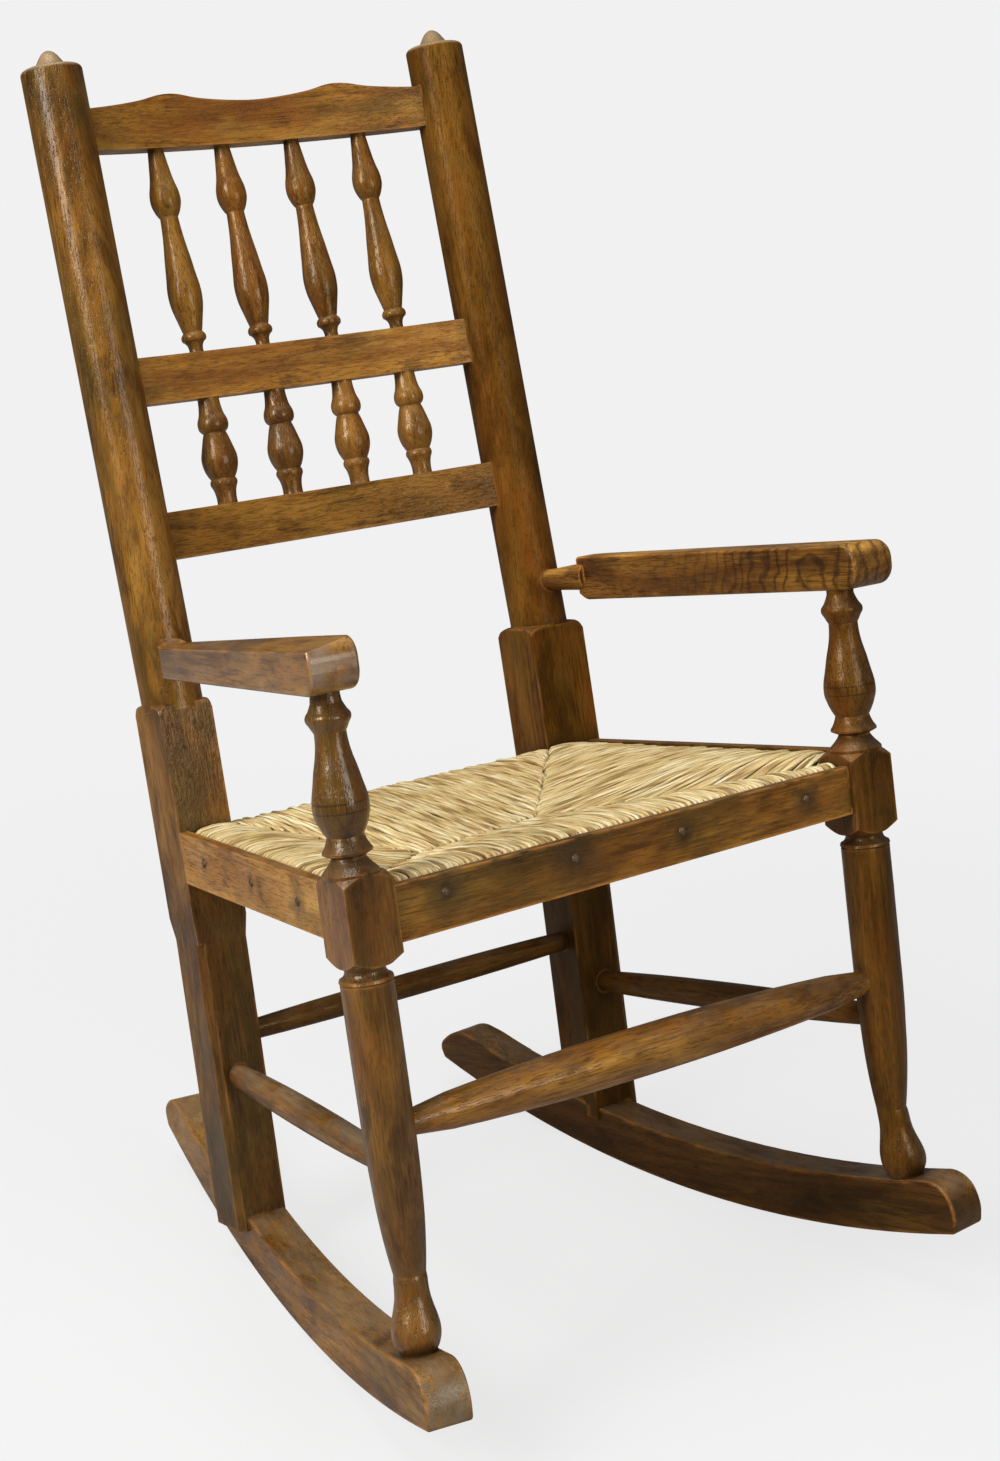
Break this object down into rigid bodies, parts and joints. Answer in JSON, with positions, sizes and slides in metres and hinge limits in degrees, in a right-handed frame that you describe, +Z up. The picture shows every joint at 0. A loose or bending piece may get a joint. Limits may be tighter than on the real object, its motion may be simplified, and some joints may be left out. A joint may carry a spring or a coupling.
{
  "type": "rocking armchair",
  "caption": "Turned spindle-back rocking armchair: raked round posts, shaped crest, straight arms, woven rush seat, turned front legs and splayed sawn rockers.",
  "frame": {"origin": "on the floor under the middle of the chair's bounding box, with the chair at rest on its rockers", "axes": "+Z up, -Y the way the sitter faces, +X to the right of somebody who looks at the chair from its front"},
  "size_m": [0.5466, 0.6965, 1.0316],
  "materials": {
    "turned_wood": "satin",
    "rail_wood": "satin",
    "arm_wood": "satin",
    "rocker_wood": "satin",
    "strip_wood": "satin",
    "seat_rail_wood": "matte",
    "rush": "matte",
    "iron_nails": "satin"
  },
  "bodies": {
    "root": {"arm_left": "arm_wood", "arm_right": "arm_wood", "back_post_left": "turned_wood", "back_post_right": "turned_wood", "crest_rail": "rail_wood", "front_leg_left": "turned_wood", "front_leg_right": "turned_wood", "lower_rail": "rail_wood", "lower_spindle_1": "turned_wood", "lower_spindle_2": "turned_wood", "lower_spindle_3": "turned_wood", "lower_spindle_4": "turned_wood", "middle_rail": "rail_wood", "nails_front": "iron_nails", "nails_left": "iron_nails", "nails_right": "iron_nails", "rocker_left": "rocker_wood", "rocker_right": "rocker_wood", "rush_seat": "rush", "seat_rail_back": "seat_rail_wood", "seat_rail_front": "seat_rail_wood", "seat_rail_left": "seat_rail_wood", "seat_rail_right": "seat_rail_wood", "seat_strip_front": "strip_wood", "seat_strip_left": "strip_wood", "seat_strip_right": "strip_wood", "stretcher_back": "turned_wood", "stretcher_front": "turned_wood", "stretcher_left": "turned_wood", "stretcher_right": "turned_wood", "upper_spindle_1": "turned_wood", "upper_spindle_2": "turned_wood", "upper_spindle_3": "turned_wood", "upper_spindle_4": "turned_wood"}
  },
  "joints": []
}
